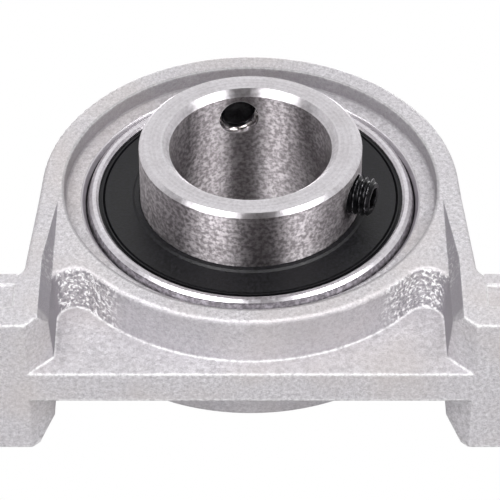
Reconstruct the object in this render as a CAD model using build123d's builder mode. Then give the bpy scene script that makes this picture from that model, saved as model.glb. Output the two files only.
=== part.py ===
from build123d import *
import math
import os

# A two-bolt pillow block with a wide inner ring insert bearing.
# X runs along the feet, the shaft axis runs along Y with the collar towards -Y, Z is up.
# The origin is on the mounting face, below the centre of the bearing.

# Housing sizes, in millimetres
base_length = 100.0
base_width = 20.0
bolt_end_distance = 10.0
bolt_hole_dia = 10.0
foot_height = 9.4
foot_end_radius = 4.0
foot_overlap = 0.1
recess_step = 2.1
rim_width = 3.4
boss_wall = 2.65
boss_floor_gap = 2.25
leg_wall = 3.2
leg_spread = 1.2
leg_foot_fillet = 1.5
face_front = 8.1
face_back = 7.1
ramp_top_drop = 3.0
ramp_bottom_rise = 2.6
outer_draft = 5.0
pocket_draft = 3.5
web_thickness = 4.3
pocket_corner_radius = 2.3
foot_chamfer = 3.0
ring_proud = 0.5
seat_mouth_chamfer = 0.8
plate_recess_inner_gap = 0.1
plate_recess_end_gap = 5.2
plate_recess_bottom = 3.3
plate_recess_height = 3.9
plate_recess_depth = 0.25
outer_edge_radius = 0.6
mount_edge_radius = 0.3
leg_slope = 32.0
boss_edge_radius = 0.6

# Bearing sizes
bore_dia = 20.0
outer_ring_dia = 42.0
outer_ring_width = 13.0
inner_ring_width = 21.0
collar_reach = 14.5
collar_dia = 27.4
ball_dia = 6.35
ball_count = 9
pitch_dia = 31.0
groove_ratio = 0.52
outer_shoulder_dia = 34.6
seal_bore_dia = 37.8
seal_groove_depth = 0.25
seal_groove_width = 1.0
seal_groove_inset = 0.6
seal_floor_inset = 1.7
bore_chamfer = 0.8
collar_chamfer = 0.5
ring_edge_chamfer = 0.3

# Seals
seal_inset = 0.3
seal_disc_thickness = 0.4
seal_face_radius = 18.5
seal_mark_radius = 18.2
seal_mark_width = 0.3
seal_mark_depth = 0.35
seal_insert_outer_radius = 18.2
seal_insert_inner_radius = 14.6
seal_lip_width = 0.6
seal_lip_height = 0.25

# Ball cage
cage_sheet = 0.7
cage_inner_dia = 28.6
cage_outer_dia = 33.2
rivet_dia = 0.9
rivet_head_dia = 1.7
rivet_head_height = 0.4

# Set screws
screw_dia = 4.9
screw_hole_dia = 5.0
screw_length = 5.0
screw_tip_radius = 11.1
screw_axial = 10.5
screw_a_angle = -21.6
screw_b_angle = 98.4
screw_socket_across = 2.5
screw_socket_depth = 2.4
screw_end_chamfer = 0.45
screw_cup_dia = 2.4
screw_cup_depth = 0.6
screw_cup_taper = 45.0

# Clearances
seat_clearance = 0.03
race_clearance = 0.03
pocket_clearance = 0.12
lip_clearance = 0.1
seal_clearance = 0.05
rivet_clearance = 0.03
slot_clearance = 0.5

half_width = base_width / 2
web_half = web_thickness / 2
ring_half = outer_ring_width / 2
ring_radius = outer_ring_dia / 2
seat_half = ring_half - ring_proud
seat_radius = ring_radius + seat_clearance
recess_radius = ring_radius + recess_step
arch_radius = recess_radius + rim_width
boss_radius = recess_radius + boss_wall
shaft_height = boss_radius + boss_floor_gap
pocket_half_span = arch_radius - leg_wall
leg_foot_half_span = arch_radius + leg_spread
foot_block_start = leg_foot_half_span - foot_overlap
bolt_spacing = base_length - 2 * bolt_end_distance
ramp_top = shaft_height - ramp_top_drop
ramp_bottom = foot_height + ramp_bottom_rise
plate_recess_start = leg_foot_half_span + plate_recess_inner_gap
plate_recess_length = base_length / 2 - plate_recess_end_gap - plate_recess_start
collar_radius = collar_dia / 2
inner_ring_back = inner_ring_width - collar_reach
pitch_radius = pitch_dia / 2
ball_radius = ball_dia / 2
groove_radius = groove_ratio * ball_dia
outer_groove_centre = pitch_radius + ball_radius + race_clearance - groove_radius
inner_groove_centre = pitch_radius - ball_radius - race_clearance + groove_radius
over = 2.0

outer_wall_limit = (pocket_half_span + leg_foot_half_span) / 2
bearing_centre = (0, 0, shaft_height)
front_plane = Plane(origin=bearing_centre, x_dir=(1, 0, 0), z_dir=(0, -1, 0))
back_plane = Plane(origin=bearing_centre, x_dir=(-1, 0, 0), z_dir=(0, 1, 0))
profile_plane = Plane(origin=bearing_centre, x_dir=(0, -1, 0), z_dir=(-1, 0, 0))
bearing_axis = Axis(bearing_centre, (0, -1, 0))
ball_step = 360 / ball_count
first_ball = 90.0
first_rivet = first_ball + ball_step / 2
cage_pocket_radius = ball_radius + pocket_clearance


def leg_tangent():
    """Where the leg leaves the arch, so that it runs straight to the top of the foot."""
    drop = shaft_height - foot_height
    reach = math.hypot(leg_foot_half_span, drop)
    angle = math.acos(arch_radius / reach) - math.atan2(drop, leg_foot_half_span)
    return arch_radius * math.cos(angle), arch_radius * math.sin(angle)


def draft_offset(distance, draft):
    return distance * math.tan(math.radians(draft))


def from_axis(point):
    return math.hypot(point.X, point.Z - shaft_height)


def is_faced(face):
    """A front or back surface of the arch, the leg ramps or the feet."""
    return abs(face.normal_at().Y) > 0.9 and abs(face.center().Y) > web_half + 1


def is_outer_wall(face):
    """A surface round the outside of the casting, above the mounting face."""
    centre = face.center()
    outside = abs(centre.X) > outer_wall_limit or (
        from_axis(centre) > outer_wall_limit and centre.Z > shaft_height
    )
    return outside and abs(face.normal_at().Y) < 0.2 and centre.Z > mount_edge_radius


def is_boss_edge(edge):
    """The rim of the boss above a pocket."""
    centre = edge.center()
    at_face = min(abs(abs(centre.Y) - face_front), abs(abs(centre.Y) - face_back)) < 0.01
    below = centre.Z < shaft_height - boss_radius / 2
    return at_face and below and from_axis(centre) < boss_radius + pocket_corner_radius


def is_foot_top_edge(edge):
    """The long upper edges of the feet, front and back."""
    centre = edge.center()
    at_side = abs(abs(centre.Y) - half_width) < 0.01
    return at_side and abs(centre.Z - foot_height) < 0.01 and edge.length > foot_end_radius


def seal_rubber_profile(side):
    """Section of a moulded seal as (along the shaft, radius), with its lip, mark and bead."""
    back = ring_half - seal_floor_inset + seal_clearance
    insert_top = back + seal_disc_thickness
    face = ring_half - seal_inset
    lip = collar_radius + lip_clearance
    bead_outer = seal_bore_dia / 2 + seal_groove_depth - seal_clearance
    bead_front = ring_half - seal_groove_inset - seal_clearance
    bead_back = bead_front - seal_groove_width + 2 * seal_clearance
    body_outer = seal_bore_dia / 2 - seal_clearance
    section = [
        (back, lip),
        (face + seal_lip_height, lip),
        (face + seal_lip_height, lip + seal_lip_width),
        (face, lip + seal_lip_width + seal_lip_height),
        (face, seal_mark_radius - seal_mark_width / 2),
        (face - seal_mark_depth, seal_mark_radius),
        (face, seal_mark_radius + seal_mark_width / 2),
        (face, seal_face_radius),
        (bead_front, seal_face_radius),
        (bead_front, bead_outer),
        (bead_back, bead_outer),
        (bead_back, body_outer),
        (back, body_outer),
        (back, seal_insert_outer_radius),
        (insert_top, seal_insert_outer_radius),
        (insert_top, seal_insert_inner_radius),
        (back, seal_insert_inner_radius),
    ]
    return [(side * along, radius) for along, radius in section]


def seal_insert_profile(side):
    back = ring_half - seal_floor_inset + seal_clearance
    return [
        (side * back, seal_insert_inner_radius),
        (side * (back + seal_disc_thickness), seal_insert_inner_radius),
        (side * (back + seal_disc_thickness), seal_insert_outer_radius),
        (side * back, seal_insert_outer_radius),
    ]


def screw_plane(angle):
    """On the shaft axis level with the set screws, facing out along a screw at this angle."""
    outwards = (math.cos(math.radians(angle)), 0, math.sin(math.radians(angle)))
    return Plane(origin=(0, -screw_axial, shaft_height), x_dir=(0, -1, 0), z_dir=outwards)


os.makedirs("parts", exist_ok=True)
tangent_x, tangent_z = leg_tangent()

with BuildPart() as housing:
    # Outline of the casting at its parting plane, drafted towards the front and the back
    with BuildSketch(front_plane) as outline:
        with BuildLine():
            floor_level = -shaft_height - over
            foot_top = foot_height - shaft_height
            Polyline(
                (tangent_x, tangent_z),
                (leg_foot_half_span, foot_top),
                (base_length / 2, foot_top),
                (base_length / 2, floor_level),
                (-base_length / 2, floor_level),
                (-base_length / 2, foot_top),
                (-leg_foot_half_span, foot_top),
                (-tangent_x, tangent_z),
            )
            ThreePointArc((tangent_x, tangent_z), (0, arch_radius), (-tangent_x, tangent_z))
        make_face()
        fillet(
            outline.vertices().filter_by(
                lambda v: abs(abs(v.X) - leg_foot_half_span) < 0.01
            ),
            leg_foot_fillet,
        )
    extrude(amount=half_width, both=True, taper=outer_draft)
    split(bisect_by=Plane.XY, keep=Keep.TOP)

    # The arch is thinner than the feet, and the legs ramp from one to the other
    with BuildSketch(Plane.YZ):
        for side, face in ((-1, face_front), (1, face_back)):
            with BuildLine():
                Polyline(
                    (side * face, ramp_top),
                    (side * face, shaft_height + arch_radius + over),
                    (side * (half_width + over), shaft_height + arch_radius + over),
                    (side * (half_width + over), ramp_bottom),
                    (side * half_width, ramp_bottom),
                    close=True,
                )
            make_face()
    extrude(amount=base_length / 2 + over, both=True, mode=Mode.SUBTRACT)

    for plane, face in ((front_plane, face_front), (back_plane, face_back)):
        # Between the legs the casting lies back to the level of the arch
        wall_at_face = pocket_half_span + draft_offset(face - web_half, pocket_draft)
        with BuildSketch(plane.offset(face)):
            with Locations((0, ramp_top - shaft_height)):
                Rectangle(2 * wall_at_face, ramp_top + over, align=(Align.CENTER, Align.MAX))
        extrude(amount=half_width - face + over, taper=-leg_slope, mode=Mode.SUBTRACT)

        # Pocket down to the web, below the boss
        with BuildSketch(plane.offset(web_half)) as pocket:
            with Locations((0, -shaft_height - over)):
                Rectangle(
                    2 * pocket_half_span, shaft_height, align=(Align.CENTER, Align.MIN)
                )
            Circle(boss_radius, mode=Mode.SUBTRACT)
            fillet(pocket.vertices().group_by(Axis.Z)[-1], pocket_corner_radius)
        extrude(amount=half_width, taper=-pocket_draft, mode=Mode.SUBTRACT)

        # Slanted lower inner corner of each foot, beside the web
        with BuildSketch(plane.offset(web_half)):
            for side in (-1, 1):
                with BuildLine():
                    Polyline(
                        (side * (pocket_half_span + foot_chamfer), -shaft_height),
                        (side * (pocket_half_span - over), foot_chamfer + over - shaft_height),
                        (side * (pocket_half_span - over), -shaft_height - over),
                        (side * (pocket_half_span + foot_chamfer), -shaft_height - over),
                        close=True,
                    )
                make_face()
        extrude(amount=half_width, mode=Mode.SUBTRACT)

    # Rounded rim of the arch and the legs
    faced = housing.faces().filter_by(is_faced)
    rim = faced.edges() & housing.faces().filter_by(is_outer_wall).edges()
    fillet(rim, outer_edge_radius)

    # Flat-topped feet with rounded ends
    for side, outwards in ((-1, Align.MAX), (1, Align.MIN)):
        with Locations((side * foot_block_start, 0, 0)):
            Box(
                base_length / 2 - foot_block_start,
                base_width,
                foot_height,
                align=(outwards, Align.CENTER, Align.MIN),
            )
    fillet(
        housing.edges().filter_by(Axis.Z).group_by(lambda e: abs(e.center().X))[-1],
        foot_end_radius,
    )
    fillet(housing.edges().filter_by(is_foot_top_edge), outer_edge_radius)
    fillet(housing.edges().filter_by(is_boss_edge), boss_edge_radius)

    # Recess round the bearing on both sides, then the spherical seat with its mouths
    for plane, face in ((front_plane, face_front), (back_plane, face_back)):
        with BuildSketch(plane.offset(seat_half)):
            Circle(recess_radius)
        extrude(amount=face, mode=Mode.SUBTRACT)
    with Locations(bearing_centre):
        Sphere(seat_radius, mode=Mode.SUBTRACT)
    mouths = housing.edges().filter_by(GeomType.CIRCLE).filter_by(
        lambda e: abs(e.radius - math.sqrt(seat_radius**2 - seat_half**2)) < 0.01
    )
    chamfer(mouths, seat_mouth_chamfer)

    # Loading slots in the back half of the seat, where the ring goes in edge on
    with BuildSketch(back_plane):
        Circle(seat_radius)
        Rectangle(2 * seat_radius, outer_ring_width + slot_clearance, mode=Mode.INTERSECT)
    extrude(amount=face_back, mode=Mode.SUBTRACT)

    # Bolt holes
    with Locations((0, 0, foot_height)):
        with GridLocations(bolt_spacing, 0, 2, 1):
            Hole(bolt_hole_dia / 2)

    # Shallow plate recess on the front of each foot
    plate_middle = plate_recess_bottom + plate_recess_height / 2 - shaft_height
    plate_centre = plate_recess_start + plate_recess_length / 2
    with BuildSketch(front_plane.offset(half_width)):
        with Locations((-plate_centre, plate_middle), (plate_centre, plate_middle)):
            Rectangle(plate_recess_length, plate_recess_height)
    extrude(amount=-plate_recess_depth, mode=Mode.SUBTRACT)

housing.part.label = "housing"
export_step(housing.part, "parts/housing.step")

with BuildPart() as outer_ring:
    with BuildSketch(profile_plane):
        with Locations((0, outer_shoulder_dia / 2)):
            Rectangle(outer_ring_width, ring_radius, align=(Align.CENTER, Align.MIN))
        Circle(ring_radius, mode=Mode.INTERSECT)
        with Locations((0, outer_groove_centre)):
            Circle(groove_radius, mode=Mode.SUBTRACT)
        for side, inwards in ((-1, Align.MIN), (1, Align.MAX)):
            with Locations((side * ring_half, 0)):
                Rectangle(
                    seal_floor_inset,
                    seal_bore_dia / 2,
                    align=(inwards, Align.MIN),
                    mode=Mode.SUBTRACT,
                )
            with Locations((side * (ring_half - seal_groove_inset), 0)):
                Rectangle(
                    seal_groove_width,
                    seal_bore_dia / 2 + seal_groove_depth,
                    align=(inwards, Align.MIN),
                    mode=Mode.SUBTRACT,
                )
    revolve(axis=bearing_axis)
    face_rims = outer_ring.edges().filter_by(GeomType.CIRCLE).filter_by(
        lambda e: abs(abs(e.arc_center.Y) - ring_half) < 0.01
    )
    chamfer(face_rims, ring_edge_chamfer)
outer_ring.part.label = "outer_ring"
export_step(outer_ring.part, "parts/outer_ring.step")

with BuildPart() as inner_ring:
    with BuildSketch(profile_plane):
        with Locations((-inner_ring_back, bore_dia / 2)):
            Rectangle(inner_ring_width, collar_radius - bore_dia / 2, align=(Align.MIN, Align.MIN))
        with Locations((0, inner_groove_centre)):
            Circle(groove_radius, mode=Mode.SUBTRACT)
    revolve(axis=bearing_axis)
    ends = inner_ring.edges().filter_by(GeomType.CIRCLE).filter_by(
        lambda e: abs(e.arc_center.Y + collar_reach) < 0.01
        or abs(e.arc_center.Y - inner_ring_back) < 0.01
    )
    chamfer(ends.filter_by(lambda e: abs(e.radius - bore_dia / 2) < 0.01), bore_chamfer)
    chamfer(ends.filter_by(lambda e: abs(e.radius - collar_radius) < 0.01), collar_chamfer)
    for angle in (screw_a_angle, screw_b_angle):
        with BuildSketch(screw_plane(angle)):
            Circle(screw_hole_dia / 2)
        extrude(amount=collar_radius + over, mode=Mode.SUBTRACT)
inner_ring.part.label = "inner_ring"
export_step(inner_ring.part, "parts/inner_ring.step")

for side, end in ((1, "front"), (-1, "rear")):
    # Moulded seal, and the steel disc bonded to its inner side
    with BuildPart() as seal_rubber:
        with BuildSketch(profile_plane):
            with BuildLine():
                Polyline(*seal_rubber_profile(side), close=True)
            make_face()
        revolve(axis=bearing_axis)
    seal_rubber.part.label = f"seal_{end}_rubber"
    export_step(seal_rubber.part, f"parts/seal_{end}_rubber.step")

    with BuildPart() as seal_insert:
        with BuildSketch(profile_plane):
            with BuildLine():
                Polyline(*seal_insert_profile(side), close=True)
            make_face()
        revolve(axis=bearing_axis)
    seal_insert.part.label = f"seal_{end}_insert"
    export_step(seal_insert.part, f"parts/seal_{end}_insert.step")

for plane, end in ((front_plane, "front"), (back_plane, "rear")):
    # Pressed ribbon on one side of the ball row: flat lands, and a round pocket over each ball
    with BuildPart() as cage:
        with BuildSketch(plane):
            Circle(cage_outer_dia / 2)
            Circle(cage_inner_dia / 2, mode=Mode.SUBTRACT)
        extrude(amount=cage_sheet)
        with Locations(plane):
            with PolarLocations(pitch_radius, ball_count, start_angle=first_ball):
                Sphere(cage_pocket_radius + cage_sheet)
        with BuildSketch(plane):
            Circle(cage_outer_dia / 2)
            Circle(cage_inner_dia / 2, mode=Mode.SUBTRACT)
        extrude(amount=cage_pocket_radius + 2 * cage_sheet, mode=Mode.INTERSECT)
        with Locations(plane):
            with PolarLocations(pitch_radius, ball_count, start_angle=first_ball):
                Sphere(cage_pocket_radius, mode=Mode.SUBTRACT)
        with BuildSketch(plane):
            with PolarLocations(pitch_radius, ball_count, start_angle=first_rivet):
                Circle(rivet_dia / 2 + rivet_clearance)
        extrude(amount=cage_sheet, mode=Mode.SUBTRACT)
    cage.part.label = f"cage_{end}"
    export_step(cage.part, f"parts/cage_{end}.step")

with BuildPart() as cage_rivets:
    with BuildSketch(front_plane.offset(-cage_sheet)):
        with PolarLocations(pitch_radius, ball_count, start_angle=first_rivet):
            Circle(rivet_dia / 2)
    extrude(amount=2 * cage_sheet)
    for plane in (front_plane, back_plane):
        with BuildSketch(plane.offset(cage_sheet)):
            with PolarLocations(pitch_radius, ball_count, start_angle=first_rivet):
                Circle(rivet_head_dia / 2)
        extrude(amount=rivet_head_height)
cage_rivets.part.label = "cage_rivets"
export_step(cage_rivets.part, "parts/cage_rivets.step")

for number in range(1, ball_count + 1):
    place = math.radians(first_ball + (number - 1) * ball_step)
    across = pitch_radius * math.cos(place)
    height = shaft_height + pitch_radius * math.sin(place)
    with BuildPart() as ball:
        with Locations((across, 0, height)):
            Sphere(ball_radius)
    ball.part.label = f"ball_{number}"
    export_step(ball.part, f"parts/ball_{number}.step")

for name, angle in (("set_screw_a", screw_a_angle), ("set_screw_b", screw_b_angle)):
    # Grub screw with a hexagon socket and a cup point, lying along its own radius
    tip = screw_plane(angle).offset(screw_tip_radius)
    with BuildPart() as set_screw:
        with BuildSketch(tip):
            Circle(screw_dia / 2)
        extrude(amount=screw_length)
        chamfer(set_screw.edges().filter_by(GeomType.CIRCLE), screw_end_chamfer)
        with BuildSketch(tip):
            Circle(screw_cup_dia / 2)
        extrude(amount=screw_cup_depth, taper=screw_cup_taper, mode=Mode.SUBTRACT)
        with BuildSketch(tip.offset(screw_length)):
            RegularPolygon(screw_socket_across / 2, 6, major_radius=False)
        extrude(amount=-screw_socket_depth, mode=Mode.SUBTRACT)
    set_screw.part.label = name
    export_step(set_screw.part, f"parts/{name}.step")
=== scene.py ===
import math

import bmesh
import bpy
from mathutils import Matrix, Vector


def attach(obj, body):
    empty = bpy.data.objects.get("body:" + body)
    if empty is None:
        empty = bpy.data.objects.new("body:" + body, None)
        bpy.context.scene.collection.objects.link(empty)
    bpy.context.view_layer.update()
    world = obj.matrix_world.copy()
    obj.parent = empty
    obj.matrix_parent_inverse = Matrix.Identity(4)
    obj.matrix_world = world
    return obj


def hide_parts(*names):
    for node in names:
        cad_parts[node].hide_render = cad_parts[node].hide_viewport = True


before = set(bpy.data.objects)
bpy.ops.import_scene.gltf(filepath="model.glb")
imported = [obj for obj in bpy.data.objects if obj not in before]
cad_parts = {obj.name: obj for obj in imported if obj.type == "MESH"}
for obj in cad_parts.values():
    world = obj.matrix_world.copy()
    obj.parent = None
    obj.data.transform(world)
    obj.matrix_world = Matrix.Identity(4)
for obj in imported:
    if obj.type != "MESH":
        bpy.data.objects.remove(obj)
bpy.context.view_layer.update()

MM = 0.001

# Radii and places on the part, in mm. The shaft axis runs along Y at height AXIS_Z.
AXIS_Z = 28.0
BORE_RADIUS = 10.0
SEAT_SHADE = 20.5      # the seat is in shade inside this radius
SEAT_EDGE = 21.1       # the machined seat and its mouth lie inside this radius
RIM_WALL = 23.1        # the inner wall of the rim
BOSS_EDGE = 24.0       # the legs, web and feet lie outside this radius
POCKET_X = 19.5        # the rough corner of a pocket
POCKET_Z = 12.2
BEVEL_TOP = 3.5        # the bevel of the feet ends between these heights
BEVEL_UNDER = 2.9

# Set screws and their holes, in mm
SCREW_Y = -10.5
SCREW_ANGLES = {"a": -21.6, "b": 98.4}
SCREW_TIPS = {"a": 12.1, "b": 11.1}
SCREW_LENGTH = 4.0
SCREW_END_CHAMFER = 0.5
SCREW_END_DROP = 0.12  # the chamfer ends this far below the root of the thread
THREAD_PITCH = 0.8
THREAD_TOP = 2.44
THREAD_ROOT = 2.0
FLANK_SLOPE = 2.6      # rise of the thread over one pitch, in thread heights
ROOT_FLAT = 0.3
SOCKET_ACROSS = 2.5
SOCKET_DEPTH = 2.0
SOCKET_CHAMFER = 0.12
SOCKET_CONE = 0.5
CONE_END = 0.15        # a cone ends in a flat of this radius
CUP_RADIUS = 1.15
CUP_DEPTH = 0.55
CUP_RIM = 0.3          # the rim of the cup point starts this far below the root of the thread
HOLE_THREAD_ROOT = 2.5
HOLE_THREAD_TOP = 2.16
HOLE_THREAD_SKIN = 0.02
BORE_CLEAR = 0.32      # the hole thread starts this far outside the bore
TIP_CLEAR = 0.1        # and ends this far before the screw

AROUND = 72            # vertices in one ring of a thread
STEPS = 8              # rings in one pitch
SHARP_ANGLE = 38       # edges sharper than this stay sharp, degrees

OCCLUSION_SAMPLES = 8
BEVEL_SAMPLES = 6
MIX_SOCKETS = {"RGBA": (6, 7, 2), "FLOAT": (2, 3, 0)}   # a, b and result of a Mix node


class Nodes:
    """Adds shader nodes to one new material and links them."""

    def __init__(self, name):
        self.material = bpy.data.materials.new(name)
        self.material.use_nodes = True
        self.tree = self.material.node_tree
        self.shader = self.tree.nodes["Principled BSDF"]
        self.output = self.tree.nodes["Material Output"]
        self.coords = self.add("ShaderNodeTexCoord").outputs["Object"]

    def add(self, kind, **values):
        node = self.tree.nodes.new(kind)
        for key, value in values.items():
            setattr(node, key, value)
        return node

    def link(self, source, target):
        self.tree.links.new(source, target)

    def put(self, value, socket):
        """Give a socket a plain value, or link it to another node's output."""
        if isinstance(value, (int, float, tuple)):
            socket.default_value = value
        else:
            self.link(value, socket)

    def set(self, name, value):
        """Put a value on a socket of the material's shader."""
        self.put(value, self.shader.inputs[name])

    def noise(self, scale, detail, rough, coords=None, distortion=0.0):
        node = self.add("ShaderNodeTexNoise")
        self.link(coords or self.coords, node.inputs["Vector"])
        settings = {"Scale": scale, "Detail": detail, "Roughness": rough, "Distortion": distortion}
        for key, number in settings.items():
            node.inputs[key].default_value = number
        return node.outputs["Fac"]

    def math(self, operation, a, b=0.0, clamp=False):
        node = self.add("ShaderNodeMath", operation=operation, use_clamp=clamp)
        self.put(a, node.inputs[0])
        self.put(b, node.inputs[1])
        return node.outputs[0]

    def plus(self, a, b):
        return self.math("ADD", a, b)

    def minus(self, a, b):
        return self.math("SUBTRACT", a, b)

    def times(self, a, b, clamp=False):
        return self.math("MULTIPLY", a, b, clamp)

    def size(self, a):
        return self.math("ABSOLUTE", a)

    def length(self, a, b):
        """Length of the line from (0, 0) to (a, b)."""
        return self.math("SQRT", self.plus(self.times(a, a), self.times(b, b)))

    def remap(self, value, low, high, to_low=0.0, to_high=1.0):
        """Take low to to_low and high to to_high, and hold the result between them."""
        node = self.add("ShaderNodeMapRange")
        self.link(value, node.inputs["Value"])
        settings = {"From Min": low, "From Max": high, "To Min": to_low, "To Max": to_high}
        for key, number in settings.items():
            node.inputs[key].default_value = number
        return node.outputs[0]

    def ramp(self, value, *stops):
        """A colour ramp with stops of (place, colour)."""
        node = self.add("ShaderNodeValToRGB")
        elements = node.color_ramp.elements
        while len(elements) > 1:
            elements.remove(elements[-1])
        elements[0].position, elements[0].color = stops[0]
        for place, colour in stops[1:]:
            elements.new(place).color = colour
        self.link(value, node.inputs["Fac"])
        return node.outputs["Color"]

    def blend(self, kind, fac, a, b, **values):
        node = self.add("ShaderNodeMix", data_type=kind, **values)
        first, second, result = MIX_SOCKETS[kind]
        self.put(fac, node.inputs[0])
        self.put(a, node.inputs[first])
        self.put(b, node.inputs[second])
        return node.outputs[result]

    def mix(self, fac, a, b, mode="MIX"):
        """Colour a where fac is 0 and colour b where it is 1."""
        return self.blend("RGBA", fac, a, b, blend_type=mode)

    def mix_value(self, fac, a, b):
        return self.blend("FLOAT", fac, a, b)

    def bump(self, height, distance, strength, normal=None):
        node = self.add("ShaderNodeBump")
        self.link(height, node.inputs["Height"])
        node.inputs["Distance"].default_value = distance
        node.inputs["Strength"].default_value = strength
        if normal:
            self.link(normal, node.inputs["Normal"])
        return node.outputs["Normal"]

    def xyz(self, source=None):
        node = self.add("ShaderNodeSeparateXYZ")
        self.link(source or self.coords, node.inputs[0])
        return node.outputs

    def normal(self):
        """The three parts of the surface's normal."""
        return self.xyz(self.add("ShaderNodeNewGeometry").outputs["Normal"])

    def axis_radius(self):
        """Distance from the shaft axis, in metres."""
        x, _, z = self.xyz()
        return self.length(x, self.minus(z, AXIS_Z * MM))

    def rings_about_axis(self, scale, detail, rough):
        """Noise that runs in circles about the shaft axis, as turning and grinding marks do."""
        line = self.add("ShaderNodeCombineXYZ")
        self.link(self.axis_radius(), line.inputs[0])
        self.link(self.xyz()[1], line.inputs[1])
        return self.noise(scale, detail, rough, coords=line.outputs[0])

    def occlusion(self, distance, inside):
        node = self.add("ShaderNodeAmbientOcclusion", inside=inside, only_local=True)
        node.samples = OCCLUSION_SAMPLES
        node.inputs["Distance"].default_value = distance
        return self.minus(1.0, node.outputs["AO"])

    def edges(self, distance):
        """1 at outer edges and 0 on flat faces."""
        return self.occlusion(distance, True)

    def corners(self, distance):
        """1 deep in inner corners and 0 on open faces."""
        return self.occlusion(distance, False)


def srgb(r, g, b):
    """A colour given in sRGB 0 to 255 as the linear colour that the shader takes."""
    shares = (r / 255, g / 255, b / 255)
    return tuple(
        c / 12.92 if c <= 10 / 255 else ((c + 0.055) / 1.055) ** 2.4 for c in shares
    ) + (1.0,)


def casting():
    """Blasted zinc casting, with a turned seat."""
    m = Nodes("blasted_casting")
    coarse = m.noise(2100, 3, 0.65)
    fine = m.noise(5600, 2, 0.6)
    cloud = m.noise(170, 3, 0.5)
    warm = m.noise(90, 2, 0.5)
    x, _, z = m.xyz()
    sideways, along, upward = m.normal()
    facing = m.size(along)
    # 1 on a face that looks straight at the part's middle plane
    inward = m.times(m.times(sideways, m.math("SIGN", x)), -1.0)
    radius = m.axis_radius()
    outside = m.remap(radius, (BOSS_EDGE - 0.2) * MM, (BOSS_EDGE + 0.2) * MM)
    rim_wall = m.remap(m.size(m.minus(radius, RIM_WALL * MM)), 0.2 * MM, 0.4 * MM, 1.0, 0.0)
    machined = m.remap(radius, (SEAT_EDGE - 0.05) * MM, SEAT_EDGE * MM, 1.0, 0.0)

    # Grain, clouds and warmer patches
    tone = m.plus(m.times(coarse, 0.6), m.times(fine, 0.4))
    colour = m.ramp(
        tone,
        (0.34, srgb(160, 157, 162)),
        (0.5, srgb(199, 196, 200)),
        (0.68, srgb(232, 230, 234)),
    )
    colour = m.mix(m.remap(cloud, 0.35, 0.7, 0.0, 0.3), colour, srgb(184, 180, 184))
    colour = m.mix(m.remap(warm, 0.45, 0.7, 0.0, 0.3), colour, srgb(200, 190, 184))

    # Edges painted bright, partly wear and partly a painted highlight; the lower half of the rim's
    # inner wall, which lies in shade, is left out
    edge = m.remap(m.edges(0.7 * MM), 0.18, 0.5)
    wear_and_highlight = m.times(edge, m.remap(coarse, 0.38, 0.6, 0.3, 1.0), clamp=True)
    rim_edge_in_shade = m.times(rim_wall, m.remap(z, (AXIS_Z + 6) * MM, (AXIS_Z - 2) * MM))
    wear_and_highlight = m.times(wear_and_highlight, m.minus(1.0, rim_edge_in_shade))
    colour = m.mix(wear_and_highlight, colour, srgb(250, 249, 250))

    # Painted shade in the hollows and on the rim's inner wall
    hollow = m.remap(m.corners(4 * MM), 0.2, 0.8)
    dark = m.times(hollow, m.mix_value(outside, 0.6, 0.35))
    colour = m.mix(dark, colour, srgb(112, 108, 114))
    colour = m.mix(m.times(rim_wall, 0.5), colour, srgb(120, 116, 120))

    # Shade on the inner walls of the feet and legs, and on what looks down from higher up
    foot = m.times(m.remap(inward, 0.78, 0.92), m.remap(z, BEVEL_TOP * MM, BEVEL_UNDER * MM))
    leg = m.times(m.remap(inward, 0.45, 0.7), m.remap(z, BEVEL_UNDER * MM, BEVEL_TOP * MM))
    beneath = m.times(m.remap(upward, -0.5, -0.8, 0.0, 0.4), m.remap(z, 1.5 * MM, 3 * MM))
    shaded = m.times(m.plus(foot, leg), 0.8)
    shaded = m.times(m.math("MAXIMUM", shaded, beneath), outside, clamp=True)
    colour = m.mix(shaded, colour, srgb(140, 136, 143))

    # Painted sparkle on the rough skin of the walls in the pocket corners: bright glints and dark
    # specks
    far = m.length(m.minus(m.size(x), POCKET_X * MM), m.minus(z, POCKET_Z * MM))
    near = m.remap(far, 3.5 * MM, 6.5 * MM, 1.0, 0.0)
    pocket = m.times(m.times(near, m.remap(facing, 0.8, 0.6)), outside)
    pocket = m.times(pocket, m.remap(inward, 0.92, 0.78))
    sparkle_specks = m.noise(1900, 2, 0.6, distortion=0.5)
    colour = m.mix(m.times(m.remap(sparkle_specks, 0.52, 0.62), pocket), colour, srgb(254, 253, 254))
    colour = m.mix(m.times(m.remap(sparkle_specks, 0.47, 0.36), pocket), colour, srgb(140, 137, 142))

    # Painted highlight along the tight inner corners
    corner_highlight = m.times(m.remap(m.corners(0.7 * MM), 0.24, 0.42, 0.0, 0.9), outside)
    corner_highlight = m.times(corner_highlight, m.remap(coarse, 0.35, 0.6, 0.35, 1.0), clamp=True)
    colour = m.mix(corner_highlight, colour, srgb(248, 247, 248))

    # The turned seat, dark where it lies in shade
    turned = m.rings_about_axis(3000, 4, 0.7)
    seat = m.ramp(turned, (0.3, srgb(170, 166, 170)), (0.7, srgb(214, 211, 215)))
    shade = m.remap(radius, SEAT_SHADE * MM, (SEAT_SHADE + 0.06) * MM, 1.0, 0.0)
    seat = m.mix(shade, seat, srgb(52, 49, 52))

    m.set("Base Color", m.mix(machined, colour, seat))
    m.set("Metallic", m.mix_value(machined, 0.22, 1.0))
    rough = m.remap(coarse, 0.3, 0.7, 0.52, 0.68)
    m.set("Roughness", m.mix_value(machined, rough, 0.36))
    soft = m.add("ShaderNodeBevel", samples=BEVEL_SAMPLES)
    soft.inputs["Radius"].default_value = 0.35 * MM
    height = m.plus(m.times(coarse, 0.65), m.times(fine, 0.35))
    height = m.times(height, m.mix_value(machined, 1.0, 0.08))
    m.set("Normal", m.bump(height, 0.16 * MM, 0.9, soft.outputs[0]))
    return m.material


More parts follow.
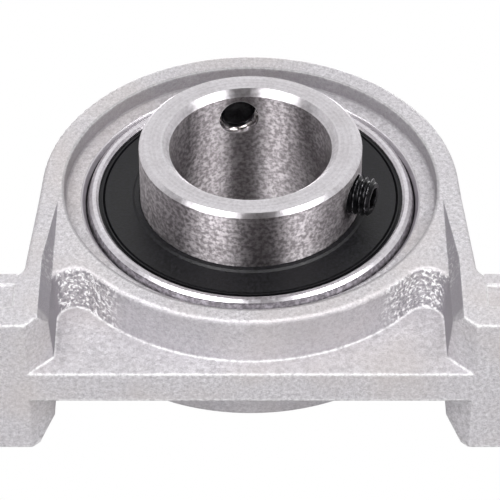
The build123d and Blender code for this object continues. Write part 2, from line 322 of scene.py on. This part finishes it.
def ground_steel(name, low, high, round_tone, roughness, stretch):
    """Steel ground in circles about the shaft, so that highlights spread along the shaft.

    The grain runs from low to high, and faces that curve about the shaft are tinted round_tone.
    """
    m = Nodes(name)
    streak = m.rings_about_axis(2600, 4, 0.7)
    mottle = m.noise(2000, 2, 0.6)
    cloud = m.noise(260, 2, 0.5)
    facing = m.size(m.normal()[1])
    flat = m.math("GREATER_THAN", facing, 0.9)
    curved = m.math("LESS_THAN", facing, 0.5)
    tone = m.plus(m.times(streak, 0.45), m.times(mottle, 0.55))
    colour = m.ramp(tone, (0.36, low), (0.64, high))
    colour = m.mix(m.remap(cloud, 0.4, 0.7, 0.0, 0.15), colour, srgb(166, 158, 158))
    spots = m.mix(m.remap(mottle, 0.4, 0.62, 0.45, 0.0), round_tone, srgb(90, 86, 86))
    colour = m.mix(curved, colour, m.mix(1.0, colour, spots, "MULTIPLY"))
    # Edges painted brighter: a painted highlight
    bright = m.remap(m.edges(0.3 * MM), 0.2, 0.5, 0.0, 0.6)
    m.set("Base Color", m.mix(bright, colour, srgb(240, 239, 242)))
    m.set("Metallic", 1.0)
    m.set("Roughness", m.remap(mottle, 0.3, 0.7, roughness - 0.04, roughness + 0.06))
    m.set("Anisotropic", stretch)
    m.set("Anisotropic Rotation", 0.25)
    tangent = m.add("ShaderNodeTangent", direction_type="RADIAL", axis="Y")
    m.set("Tangent", m.mix(flat, tangent.outputs[0], (0.0, 0.0, 1.0, 1.0)))
    height = m.plus(m.times(streak, 0.4), m.times(mottle, 0.6))
    m.set("Normal", m.bump(height, 0.03 * MM, 0.5))
    return m.material


def rubber():
    m = Nodes("seal_rubber")
    speck = m.noise(2600, 2, 0.5)
    dust = m.noise(1500, 3, 0.7)
    colour = m.ramp(speck, (0.4, srgb(11, 11, 13)), (0.75, srgb(27, 26, 32)))
    m.set("Base Color", m.mix(m.remap(dust, 0.74, 0.8, 0.0, 0.5), colour, srgb(120, 118, 120)))
    m.set("Roughness", m.remap(speck, 0.3, 0.7, 0.38, 0.54))
    m.set("Specular IOR Level", 0.28)
    m.set("Normal", m.bump(speck, 0.04 * MM, 0.5))
    return m.material


def black_steel():
    """Black oxide, with glints painted in places on its edges."""
    m = Nodes("black_oxide")
    speck = m.noise(2200, 2, 0.5)
    colour = m.ramp(speck, (0.4, srgb(16, 16, 18)), (0.8, srgb(40, 39, 42)))
    # Painted glints on the edges
    edge = m.remap(m.edges(0.18 * MM), 0.2, 0.5)
    edge_glint = m.times(edge, m.remap(speck, 0.4, 0.6), clamp=True)
    m.set("Base Color", m.mix(edge_glint, colour, srgb(150, 148, 152)))
    m.set("Metallic", 0.8)
    m.set("Roughness", m.remap(speck, 0.3, 0.7, 0.26, 0.4))
    return m.material


def thread_steel():
    m = Nodes("tapped_thread")
    speck = m.noise(3000, 2, 0.5)
    m.set("Base Color", m.ramp(speck, (0.35, srgb(120, 114, 110)), (0.7, srgb(206, 202, 204))))
    m.set("Metallic", 1.0)
    m.set("Roughness", m.remap(speck, 0.3, 0.7, 0.18, 0.32))
    return m.material


def plain_steel(name, colour, roughness):
    m = Nodes(name)
    cloud = m.noise(600, 3, 0.6)
    m.set("Base Color", m.mix(m.remap(cloud, 0.3, 0.7, 0.0, 0.2), colour, srgb(140, 140, 142)))
    m.set("Metallic", 1.0)
    m.set("Roughness", m.remap(cloud, 0.3, 0.7, roughness, roughness + 0.06))
    return m.material


def dress(node, material):
    """Give a CAD object one material."""
    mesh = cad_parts[node].data
    if not mesh.materials:
        mesh.materials.append(material)
    for index in range(len(mesh.materials)):
        mesh.materials[index] = material


CASTING = casting()
RING = ground_steel(
    "ring_steel", srgb(202, 198, 203), srgb(236, 233, 238), srgb(225, 224, 226), 0.34, 0.7
)
COLLAR = ground_steel(
    "collar_steel", srgb(206, 202, 206), srgb(244, 241, 245), srgb(200, 197, 197), 0.42, 1.0
)
RUBBER = rubber()
BLACK = black_steel()
TAPPED = thread_steel()
SHEET = plain_steel("sheet_steel", srgb(190, 190, 192), 0.3)
BALL = plain_steel("ball_steel", srgb(214, 214, 216), 0.08)

dress("housing", CASTING)
dress("outer_ring", RING)
dress("inner_ring", COLLAR)
for end in ("front", "rear"):
    dress(f"seal_{end}_rubber", RUBBER)
    dress(f"seal_{end}_insert", SHEET)
    dress(f"cage_{end}", SHEET)
dress("cage_rivets", SHEET)
for number in range(1, 10):
    dress(f"ball_{number}", BALL)
for side in "ab":
    dress(f"set_screw_{side}", BLACK)


def into_scene(name, data):
    """A new object of this name with this mesh, lamp or camera, in the scene."""
    made = bpy.data.objects.new(name, data)
    bpy.context.scene.collection.objects.link(made)
    return made


def skin(rings, side, capped):
    """Vertices and faces through rings of (radius, reach) points about a set screw hole.

    The reach is the distance from the shaft axis. A capped skin has a face on its first and last ring.
    """
    angle = math.radians(SCREW_ANGLES[side])
    origin = Vector((0, SCREW_Y, AXIS_Z))
    out = Vector((math.cos(angle), 0, math.sin(angle)))
    along = Vector((0, 1, 0))
    across = out.cross(along)
    verts = []
    for ring in rings:
        for k, (radius, reach) in enumerate(ring):
            turn = 2 * math.pi * k / AROUND
            round_hole = along * math.cos(turn) + across * math.sin(turn)
            verts.append(origin + out * reach + round_hole * radius)
    faces = []
    for i in range(len(rings) - 1):
        this, above = i * AROUND, (i + 1) * AROUND
        for k in range(AROUND):
            n = (k + 1) % AROUND
            faces.append((this + k, this + n, above + n, above + k))
    if capped:
        faces.append(tuple(range(AROUND)))
        faces.append(tuple(range((len(rings) - 1) * AROUND, len(rings) * AROUND)))
    return verts, faces


def piece(name, verts, faces, body, material):
    """A smooth mesh with sharp edges kept, riding a body."""
    mesh = bpy.data.meshes.new(name)
    mesh.from_pydata([v * MM for v in verts], [], faces)
    work = bmesh.new()
    work.from_mesh(mesh)
    bmesh.ops.recalc_face_normals(work, faces=work.faces)
    work.to_mesh(mesh)
    work.free()
    for face in mesh.polygons:
        face.use_smooth = True
    mesh.set_sharp_from_angle(angle=math.radians(SHARP_ANGLE))
    mesh.materials.append(material)
    made = into_scene(name, mesh)
    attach(made, body)
    return made


def even(radius, reach):
    """A round ring."""
    return [(radius, reach)] * AROUND


def hexagon(reach, wider=0.0):
    """A ring that follows the socket's six flats."""
    points = []
    for k in range(AROUND):
        turn = (360.0 * k / AROUND) % 60.0 - 30.0
        points.append((SOCKET_ACROSS / 2 / math.cos(math.radians(turn)) + wider, reach))
    return points


def thread(reach, root, top, limit=math.inf):
    """A ring of a V thread with narrow flats, from radius root to radius top and within limit."""
    ring = []
    for k in range(AROUND):
        part = (reach / THREAD_PITCH - k / AROUND) % 1.0
        wave = min(max(abs(part - 0.5) * FLANK_SLOPE - ROOT_FLAT, 0.0), 1.0)
        ring.append((min(root + wave * (top - root), limit), reach))
    return ring


def set_screw(side):
    """A short threaded set screw with a hex socket outside and a cup point inside."""
    tip = SCREW_TIPS[side]
    end = tip + SCREW_LENGTH
    edge = THREAD_ROOT - SCREW_END_DROP
    rings = [
        even(CONE_END, end - SOCKET_DEPTH - SOCKET_CONE),
        hexagon(end - SOCKET_DEPTH),
        hexagon(end - SOCKET_CHAMFER),
        hexagon(end, SOCKET_CHAMFER),
        even(edge, end),
    ]
    count = round(SCREW_LENGTH / THREAD_PITCH * STEPS)
    for i in range(1, count):
        reach = end - SCREW_LENGTH * i / count
        near = min(end - reach, reach - tip)
        limit = edge + near / SCREW_END_CHAMFER * (THREAD_TOP - edge)
        rings.append(thread(reach, THREAD_ROOT, THREAD_TOP, limit))
    rings += [
        even(THREAD_ROOT - CUP_RIM, tip),
        even(CUP_RADIUS, tip),
        even(CONE_END, tip + CUP_DEPTH),
    ]
    verts, faces = skin(rings, side, True)
    made = piece(f"set_screw_{side}_threaded", verts, faces, f"set_screw_{side}", BLACK)
    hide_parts(f"set_screw_{side}")


def hole_thread(side):
    """The thread in view inside a set screw hole, as a closed sleeve in the hole's wall."""
    first = BORE_RADIUS + BORE_CLEAR
    last = SCREW_TIPS[side] - TIP_CLEAR
    rings = [even(HOLE_THREAD_ROOT, first)]
    count = round((last - first) / THREAD_PITCH * STEPS)
    for i in range(count + 1):
        reach = first + (last - first) * i / count
        rings.append(thread(reach, HOLE_THREAD_ROOT - HOLE_THREAD_SKIN, HOLE_THREAD_TOP))
    rings += [even(HOLE_THREAD_ROOT, last), even(HOLE_THREAD_ROOT, first)]
    verts, faces = skin(rings, side, False)
    piece(f"hole_thread_{side}", verts, faces, "inner_ring", TAPPED)


for side in "ab":
    set_screw(side)
    hole_thread(side)


# The camera looks up from in front and below, as in the photograph
PITCH = 0.7256              # between the view and straight up, radians
CAMERA_PLACE = (-0.00006, -0.22778, -0.23225)
SENSOR = 36.0
FOCAL_SHARE = 2747.6 / 500  # focal length in frame widths

camera = into_scene("camera", bpy.data.cameras.new("camera"))
bpy.context.scene.camera = camera
camera.location = CAMERA_PLACE
forward = Vector((0, math.sin(PITCH), math.cos(PITCH)))
up = Vector((0, -math.cos(PITCH), math.sin(PITCH)))
right = forward.cross(up)
camera.rotation_euler = Matrix((right, up, -forward)).transposed().to_euler()
camera.data.sensor_width = SENSOR
camera.data.lens = FOCAL_SHARE * SENSOR
camera.data.clip_start = 0.01
camera.data.clip_end = 20.0

# The world is white to the camera and in reflections, and lights the part with a dim grey
DIM = (0.25, 0.25, 0.25, 1)
WHITE = (1, 1, 1, 1)

world = bpy.data.worlds.new("world")
bpy.context.scene.world = world
world.use_nodes = True
nodes = world.node_tree.nodes
links = world.node_tree.links
background = nodes["Background"]
background.inputs["Strength"].default_value = 1.0
path = nodes.new("ShaderNodeLightPath")
white_part = path.outputs["Is Camera Ray"]
for kind in ("Is Transmission Ray", "Is Glossy Ray"):
    either = nodes.new("ShaderNodeMath")
    either.operation = "MAXIMUM"
    links.new(white_part, either.inputs[0])
    links.new(path.outputs[kind], either.inputs[1])
    white_part = either.outputs[0]
first, second, result = MIX_SOCKETS["RGBA"]
mixed = nodes.new("ShaderNodeMix")
mixed.data_type = "RGBA"
mixed.inputs[first].default_value = DIM
mixed.inputs[second].default_value = WHITE
links.new(white_part, mixed.inputs[0])
links.new(mixed.outputs[result], background.inputs["Color"])

CENTRE = Vector((0, 0, AXIS_Z * MM))


def hide_from(ob, *rays):
    """Leave an object out of the named kinds of rays."""
    for kind in rays:
        setattr(ob, f"visible_{kind}", False)


def lamp(name, direction, distance, size, power, *unseen_by):
    """An area lamp of (width, height), in this direction from the part and aimed at it."""
    data = bpy.data.lights.new(name, "AREA")
    data.shape = "RECTANGLE"
    data.size, data.size_y = size
    data.energy = power
    made = into_scene(name, data)
    made.location = CENTRE + Vector(direction).normalized() * distance
    made.rotation_euler = (CENTRE - made.location).to_track_quat("-Z", "Y").to_euler()
    hide_from(made, "camera", *unseen_by)


# The two strips are seen in reflections only, and make the bright bands on the collar and in the bore
lamp("key", (0.03, -0.93, -0.35), 0.62, (0.22, 0.40), 2.5, "glossy")
lamp("strip_left", (-0.37, -0.88, -0.30), 0.60, (0.22, 0.45), 4.6, "diffuse")
lamp("strip_right", (0.565, -0.77, -0.30), 0.60, (0.17, 0.45), 3.3, "diffuse")
lamp("under", (0.0, -0.20, -0.95), 0.62, (0.5, 0.5), 3.0, "glossy")
lamp("top", (0.0, 0.10, 0.95), 0.62, (0.4, 0.4), 2.6)
lamp("rear", (0.35, 0.85, 0.45), 0.70, (0.4, 0.4), 2.4, "glossy")


def card(name, verts, faces):
    """A dark studio card that only reflections see."""
    mesh = bpy.data.meshes.new(name)
    mesh.from_pydata([CENTRE + Vector(v) for v in verts], [], faces)
    made = into_scene(name, mesh)
    look = Nodes(name)
    look.set("Base Color", srgb(70, 62, 60))
    look.set("Roughness", 1.0)
    look.set("Specular IOR Level", 0.0)
    mesh.materials.append(look.material)
    hide_from(made, "camera", "shadow", "diffuse", "transmission")


VIEW_DROP = 0.71       # the downward part of a unit line from the collar to the camera, about
FAN_AWAY = 0.8         # metres from the part to the front and to the bottom of a fan
FAN_TOP = 0.12
FAN_BACK = 0.7
FAN_REACH = 2.5        # half of a fan's greatest width
FRONT_STEPS = 6
BOTTOM_STEPS = 8
FAN_ROUNDS = 8         # rounds in which a point of a fan's side is found


def fan(name, angle_a, angle_b):
    """A card in front of and below the part, between what two lines of a ground cylinder reflect.

    The lines run along the shaft, at these angles from the cylinder's lowest line, in degrees.
    """
    front = [
        (-FAN_AWAY, FAN_TOP - (FAN_TOP + FAN_AWAY) * k / FRONT_STEPS) for k in range(FRONT_STEPS + 1)
    ]
    bottom = [
        (-FAN_AWAY + (FAN_AWAY + FAN_BACK) * k / BOTTOM_STEPS, -FAN_AWAY)
        for k in range(1, BOTTOM_STEPS + 1)
    ]
    verts = []
    for y, z in front + bottom:
        for angle in (angle_a, angle_b):
            slope = math.tan(math.radians(angle))
            x = 0.0
            for _ in range(FAN_ROUNDS):
                x = slope * (VIEW_DROP * math.sqrt(x * x + y * y + z * z) - z)
                x = max(-FAN_REACH, min(FAN_REACH, x))
            verts.append((x, y, z))
    faces = [(k, k + 1, k + 3, k + 2) for k in range(0, len(verts) - 2, 2)]
    card(name, verts, faces)


REAR_CARD = 0.09       # half of its width and height
REAR_CARD_Y = 0.12

fan("card_middle", -9, 20)
fan("card_left", -80, -30)
fan("card_right", 37, 80)
card(
    "card_rear",
    [(x * REAR_CARD, REAR_CARD_Y, z * REAR_CARD) for x, z in ((-1, -1), (1, -1), (1, 1), (-1, 1))],
    [(0, 1, 2, 3)],
)

# The floor is clear from below, from where the camera looks through it
bpy.ops.mesh.primitive_plane_add(size=3.0, location=(0, 0, -0.4 * MM))
floor = bpy.context.object
floor.name = "floor"
look = Nodes("floor")
look.set("Base Color", srgb(236, 236, 236))
look.set("Roughness", 0.9)
geometry = look.add("ShaderNodeNewGeometry")
clear = look.add("ShaderNodeBsdfTransparent")
blend = look.add("ShaderNodeMixShader")
look.link(geometry.outputs["Backfacing"], blend.inputs[0])
look.link(look.shader.outputs[0], blend.inputs[1])
look.link(clear.outputs[0], blend.inputs[2])
look.link(blend.outputs[0], look.output.inputs["Surface"])
floor.data.materials.append(look.material)
hide_from(floor, "shadow", "diffuse", "glossy")

bpy.context.scene.view_settings.view_transform = "Standard"
